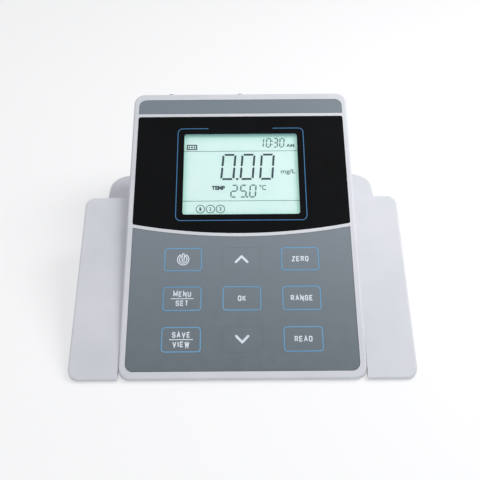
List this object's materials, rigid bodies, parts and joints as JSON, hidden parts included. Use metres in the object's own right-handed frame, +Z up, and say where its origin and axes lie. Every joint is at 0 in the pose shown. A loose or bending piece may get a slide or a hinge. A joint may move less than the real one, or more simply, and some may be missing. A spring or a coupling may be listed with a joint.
{
  "type": "benchtop multiparameter meter",
  "caption": "Benchtop multiparameter meter: a wedge console with a recessed display and flush membrane keys, set between two low sloping wings of its base, sockets on the sloped back.",
  "frame": {"origin": "middle of the footprint, on the table", "axes": "+X to the user's right, +Y from the user to the sockets at the back, +Z up"},
  "size_m": [0.24, 0.226, 0.1026],
  "materials": {
    "case_plastic": "fine matt texture, light grey",
    "strip_film": "satin grey film",
    "display_plastic": "satin black",
    "clear_plastic": "clear, polished",
    "keypad_film": "fine matt film, blue grey",
    "circuit_film": "clear amber film",
    "spring_steel": "bright",
    "lcd_glass": "pale green, polished",
    "light_guide": "milky white",
    "black_plastic": "fine matt, black",
    "elastomer": "matt, pink",
    "circuit_board": "green lacquer",
    "capacitor_can": "satin",
    "relay_plastic": "ivory",
    "cell_steel": "bright",
    "tinned_steel": "tinned",
    "white_plastic": "natural white",
    "ribbon_grey": "grey",
    "screw_steel": "zinc plated",
    "foot_rubber": "matt, black",
    "socket_nickel": "nickel plated",
    "contact_gold": "gold plated",
    "insulator": "white"
  },
  "bodies": {
    "meter": {"upper_case": "case_plastic", "base_housing": "case_plastic", "bottom_plate": "case_plastic", "case_screws": "screw_steel", "rubber_feet": "foot_rubber", "top_strip": "strip_film", "display_panel": "display_plastic", "display_pane": "clear_plastic", "keypad_overlay": "keypad_film", "key_circuit": "circuit_film", "key_domes": "spring_steel", "lcd_glass": "lcd_glass", "lcd_backlight": "light_guide", "lcd_holder": "black_plastic", "elastomer_strip": "elastomer", "main_board": "circuit_board", "board_screws": "screw_steel", "board_chips": "black_plastic", "board_capacitors": "capacitor_can", "board_relays": "relay_plastic", "buzzer": "black_plastic", "cell_holder": "black_plastic", "coin_cell": "cell_steel", "input_shield": "tinned_steel", "socket_board": "circuit_board", "board_connectors": "white_plastic", "ribbon": "ribbon_grey", "socket_panel": "black_plastic", "panel_screws": "screw_steel", "probe_socket_1": "socket_nickel", "probe_socket_2": "socket_nickel", "probe_nut_1": "socket_nickel", "probe_nut_2": "socket_nickel", "probe_core_1": "insulator", "probe_core_2": "insulator", "probe_contact_1": "contact_gold", "probe_contact_2": "contact_gold", "reference_jack": "black_plastic", "reference_liner": "socket_nickel", "temperature_jack": "socket_nickel", "temperature_core": "insulator", "usb_port": "tinned_steel", "usb_tongue": "white_plastic", "power_inlet": "black_plastic", "power_pin": "socket_nickel"},
    "key_power": {"key_power": "keypad_film"},
    "key_menu": {"key_menu": "keypad_film"},
    "key_memory": {"key_memory": "keypad_film"},
    "key_up": {"key_up": "keypad_film"},
    "key_ok": {"key_ok": "keypad_film"},
    "key_down": {"key_down": "keypad_film"},
    "key_zero": {"key_zero": "keypad_film"},
    "key_range": {"key_range": "keypad_film"},
    "key_read": {"key_read": "keypad_film"}
  },
  "joints": [
    {"name": "key_power_press", "type": "slide", "parent": "meter", "child": "key_power", "axis": [0, 0.4384, -0.8988], "range_m": [0, 0.00035], "stiffness_N_per_m": 6000},
    {"name": "key_menu_press", "type": "slide", "parent": "meter", "child": "key_menu", "axis": [0, 0.4384, -0.8988], "range_m": [0, 0.00035], "stiffness_N_per_m": 6000},
    {"name": "key_memory_press", "type": "slide", "parent": "meter", "child": "key_memory", "axis": [0, 0.4384, -0.8988], "range_m": [0, 0.00035], "stiffness_N_per_m": 6000},
    {"name": "key_up_press", "type": "slide", "parent": "meter", "child": "key_up", "axis": [0, 0.4384, -0.8988], "range_m": [0, 0.00035], "stiffness_N_per_m": 6000},
    {"name": "key_ok_press", "type": "slide", "parent": "meter", "child": "key_ok", "axis": [0, 0.4384, -0.8988], "range_m": [0, 0.00035], "stiffness_N_per_m": 6000},
    {"name": "key_down_press", "type": "slide", "parent": "meter", "child": "key_down", "axis": [0, 0.4384, -0.8988], "range_m": [0, 0.00035], "stiffness_N_per_m": 6000},
    {"name": "key_zero_press", "type": "slide", "parent": "meter", "child": "key_zero", "axis": [0, 0.4384, -0.8988], "range_m": [0, 0.00035], "stiffness_N_per_m": 6000},
    {"name": "key_range_press", "type": "slide", "parent": "meter", "child": "key_range", "axis": [0, 0.4384, -0.8988], "range_m": [0, 0.00035], "stiffness_N_per_m": 6000},
    {"name": "key_read_press", "type": "slide", "parent": "meter", "child": "key_read", "axis": [0, 0.4384, -0.8988], "range_m": [0, 0.00035], "stiffness_N_per_m": 6000}
  ]
}
